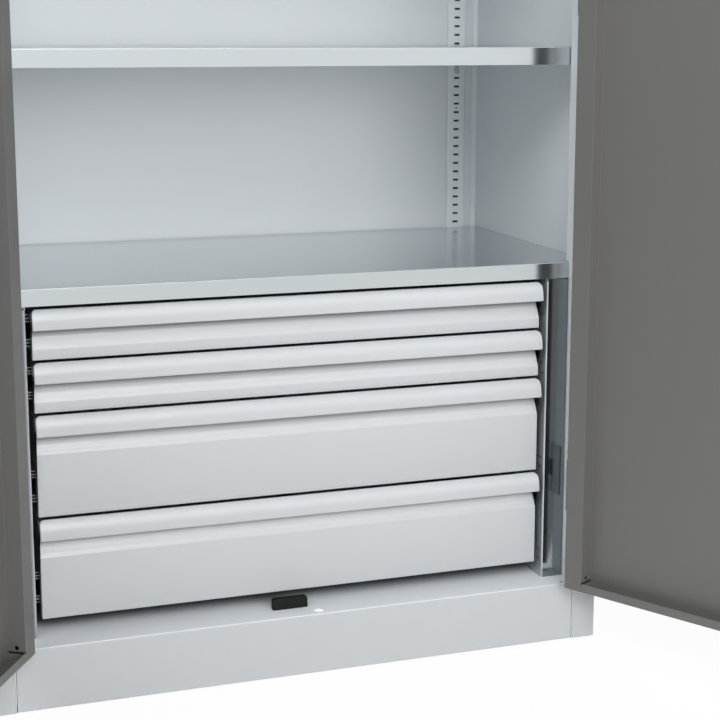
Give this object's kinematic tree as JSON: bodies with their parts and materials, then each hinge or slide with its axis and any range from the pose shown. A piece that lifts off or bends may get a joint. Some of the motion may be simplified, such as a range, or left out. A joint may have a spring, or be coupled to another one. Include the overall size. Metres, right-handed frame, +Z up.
{
  "type": "heavy-duty drawer cabinet",
  "caption": "Tall wing-door steel cabinet with telescopic drawers below adjustable shelves, levelling feet and a lever that throws locking rods.",
  "frame": {"origin": "on the floor under the middle of the carcase", "axes": "+X to the right as seen from the front, +Y to the back, +Z up"},
  "size_m": [1.2762, 0.8973, 1.95],
  "materials": {
    "grey_paint": "fine powder coat",
    "dark_paint": "fine powder coat",
    "galvanised": "bright zinc coat",
    "bare_steel": "zinc plated",
    "nickel": "satin nickel",
    "black_plastic": "moulded"
  },
  "bodies": {
    "carcase": {"back_panel": "grey_paint", "block_cover": "galvanised", "block_rear_tie": "galvanised", "block_screws": "bare_steel", "block_side_left": "galvanised", "block_side_right": "galvanised", "door_stops": "black_plastic", "floor_panel": "grey_paint", "foot_pads": "black_plastic", "foot_plates": "bare_steel", "foot_studs": "bare_steel", "hinge_leaves_post": "grey_paint", "hinge_pins": "bare_steel", "plinth_rear": "grey_paint", "runner_outer_left": "bare_steel", "runner_outer_right": "bare_steel", "shelf_clips": "bare_steel", "shelf_lower": "galvanised", "shelf_middle": "galvanised", "shelf_rails_front": "grey_paint", "shelf_rails_rear": "grey_paint", "shelf_upper": "galvanised", "side_panel_left": "grey_paint", "side_panel_right": "grey_paint", "top_panel": "grey_paint"},
    "left_door": {"door_left": "dark_paint", "door_left_strip": "dark_paint", "hinge_leaves_left": "dark_paint"},
    "right_door": {"door_right": "dark_paint", "hinge_leaves_right": "dark_paint", "lock_case": "bare_steel", "handle_rose": "nickel", "rod_guides": "black_plastic"},
    "handle": {"door_handle": "nickel", "lock_spindle": "bare_steel", "lock_pinion": "bare_steel"},
    "key": {"key_core": "nickel"},
    "upper_rod": {"rod_top": "bare_steel"},
    "lower_rod": {"rod_bottom": "bare_steel"},
    "drawer_1": {"drawer_front_1": "grey_paint", "drawer_tray_1": "grey_paint", "runner_inner_1": "bare_steel"},
    "runner_1": {"runner_middle_1": "bare_steel", "runner_balls_1": "bare_steel"},
    "drawer_2": {"drawer_front_2": "grey_paint", "drawer_tray_2": "grey_paint", "runner_inner_2": "bare_steel"},
    "runner_2": {"runner_middle_2": "bare_steel", "runner_balls_2": "bare_steel"},
    "drawer_3": {"drawer_front_3": "grey_paint", "drawer_tray_3": "grey_paint", "runner_inner_3": "bare_steel"},
    "runner_3": {"runner_middle_3": "bare_steel", "runner_balls_3": "bare_steel"},
    "drawer_4": {"drawer_front_4": "grey_paint", "drawer_tray_4": "grey_paint", "runner_inner_4": "bare_steel"},
    "runner_4": {"runner_middle_4": "bare_steel", "runner_balls_4": "bare_steel"}
  },
  "joints": [
    {"name": "left_door_hinge", "type": "hinge", "parent": "carcase", "child": "left_door", "pos_m": [-0.4251, -0.255, 1], "axis": [0, 0, -1], "range_deg": [-120, 0]},
    {"name": "right_door_hinge", "type": "hinge", "parent": "carcase", "child": "right_door", "pos_m": [0.4251, -0.255, 1], "axis": [0, 0, 1], "range_deg": [-120, 0]},
    {"name": "handle_turn", "type": "hinge", "parent": "right_door", "child": "handle", "pos_m": [0.62652, -0.60186, 1.05], "axis": [0.866, 0.5, 0], "range_deg": [-90, 0]},
    {"name": "key_turn", "type": "hinge", "parent": "right_door", "child": "key", "pos_m": [0.62652, -0.60186, 0.99], "axis": [0.866, 0.5, 0], "range_deg": [0, 90]},
    {"name": "upper_rod_slide", "type": "slide", "parent": "right_door", "child": "upper_rod", "axis": [0, 0, 1], "range_m": [0, 0.0178]},
    {"name": "lower_rod_slide", "type": "slide", "parent": "right_door", "child": "lower_rod", "axis": [0, 0, -1], "range_m": [0, 0.0178]},
    {"name": "drawer_1_slide", "type": "slide", "parent": "carcase", "child": "drawer_1", "axis": [0, -1, 0], "range_m": [0, 0.38]},
    {"name": "runner_1_slide", "type": "slide", "parent": "carcase", "child": "runner_1", "axis": [0, -1, 0], "range_m": [0, 0.19]},
    {"name": "drawer_2_slide", "type": "slide", "parent": "carcase", "child": "drawer_2", "axis": [0, -1, 0], "range_m": [0, 0.38]},
    {"name": "runner_2_slide", "type": "slide", "parent": "carcase", "child": "runner_2", "axis": [0, -1, 0], "range_m": [0, 0.19]},
    {"name": "drawer_3_slide", "type": "slide", "parent": "carcase", "child": "drawer_3", "axis": [0, -1, 0], "range_m": [0, 0.38]},
    {"name": "runner_3_slide", "type": "slide", "parent": "carcase", "child": "runner_3", "axis": [0, -1, 0], "range_m": [0, 0.19]},
    {"name": "drawer_4_slide", "type": "slide", "parent": "carcase", "child": "drawer_4", "axis": [0, -1, 0], "range_m": [0, 0.38]},
    {"name": "runner_4_slide", "type": "slide", "parent": "carcase", "child": "runner_4", "axis": [0, -1, 0], "range_m": [0, 0.19]}
  ],
  "couplings": [
    {"joint": "upper_rod_slide", "follows": "handle_turn", "m_per_rad": -0.01125},
    {"joint": "lower_rod_slide", "follows": "handle_turn", "m_per_rad": -0.01125},
    {"joint": "runner_1_slide", "follows": "drawer_1_slide", "ratio": 0.5},
    {"joint": "runner_2_slide", "follows": "drawer_2_slide", "ratio": 0.5},
    {"joint": "runner_3_slide", "follows": "drawer_3_slide", "ratio": 0.5},
    {"joint": "runner_4_slide", "follows": "drawer_4_slide", "ratio": 0.5}
  ]
}
